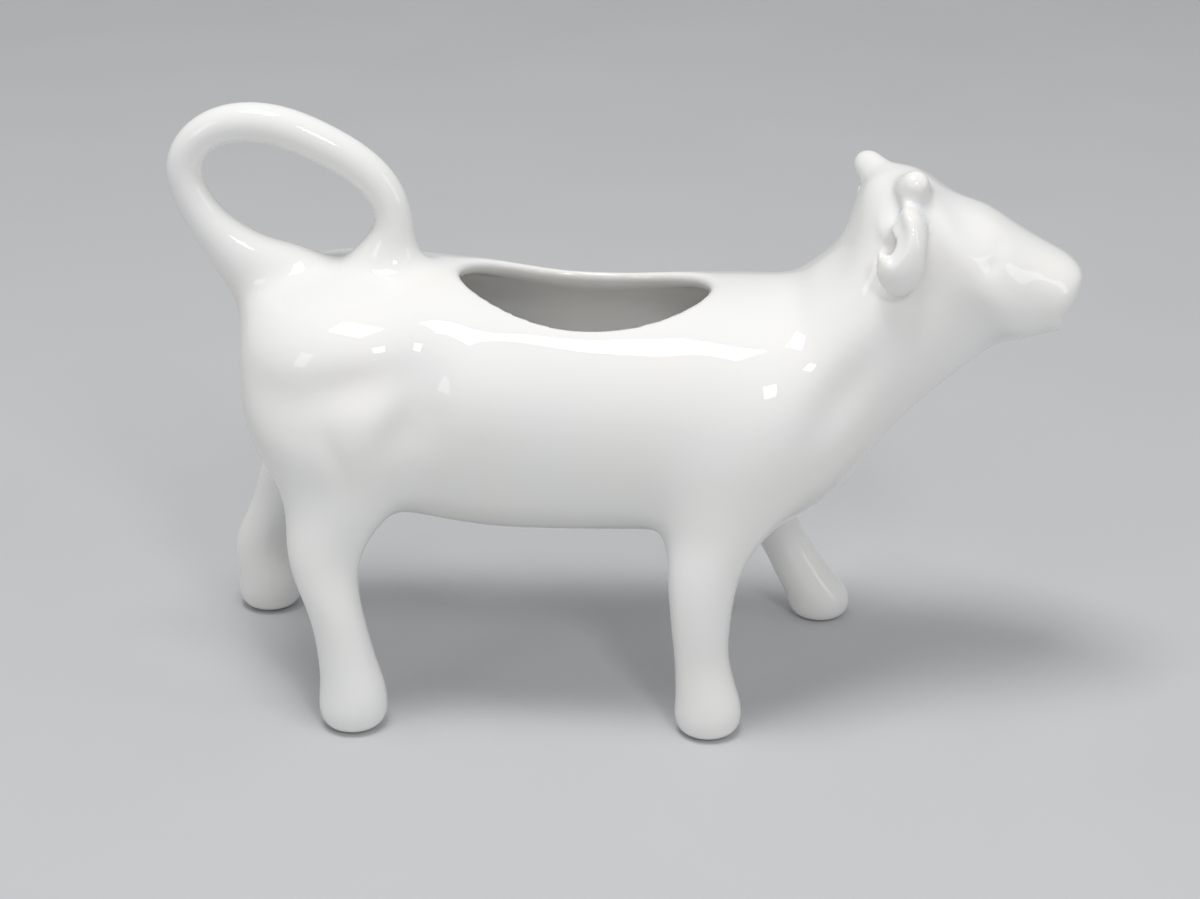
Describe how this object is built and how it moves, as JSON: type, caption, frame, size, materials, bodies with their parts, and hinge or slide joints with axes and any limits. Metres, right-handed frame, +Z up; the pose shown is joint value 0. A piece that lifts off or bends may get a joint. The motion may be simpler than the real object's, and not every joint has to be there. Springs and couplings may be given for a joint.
{
  "type": "cow creamer",
  "caption": "Hollow glazed porcelain creamer in the shape of a walking cow, filled through an oval opening in the back, lifted by its looped tail and poured through the mouth.",
  "frame": {"origin": "on the table under the middle of the creamer's length and width", "axes": "+X towards the head, +Y to the cow's left, +Z up"},
  "size_m": [0.165, 0.0606, 0.1119],
  "materials": {
    "glazed_porcelain": "gloss"
  },
  "bodies": {
    "root": {"body_shell": "glazed_porcelain", "head_shell": "glazed_porcelain", "right_front_leg": "glazed_porcelain", "left_front_leg": "glazed_porcelain", "right_hind_leg": "glazed_porcelain", "left_hind_leg": "glazed_porcelain", "tail_handle": "glazed_porcelain", "right_ear": "glazed_porcelain", "left_ear": "glazed_porcelain", "right_horn": "glazed_porcelain", "left_horn": "glazed_porcelain"}
  },
  "joints": []
}
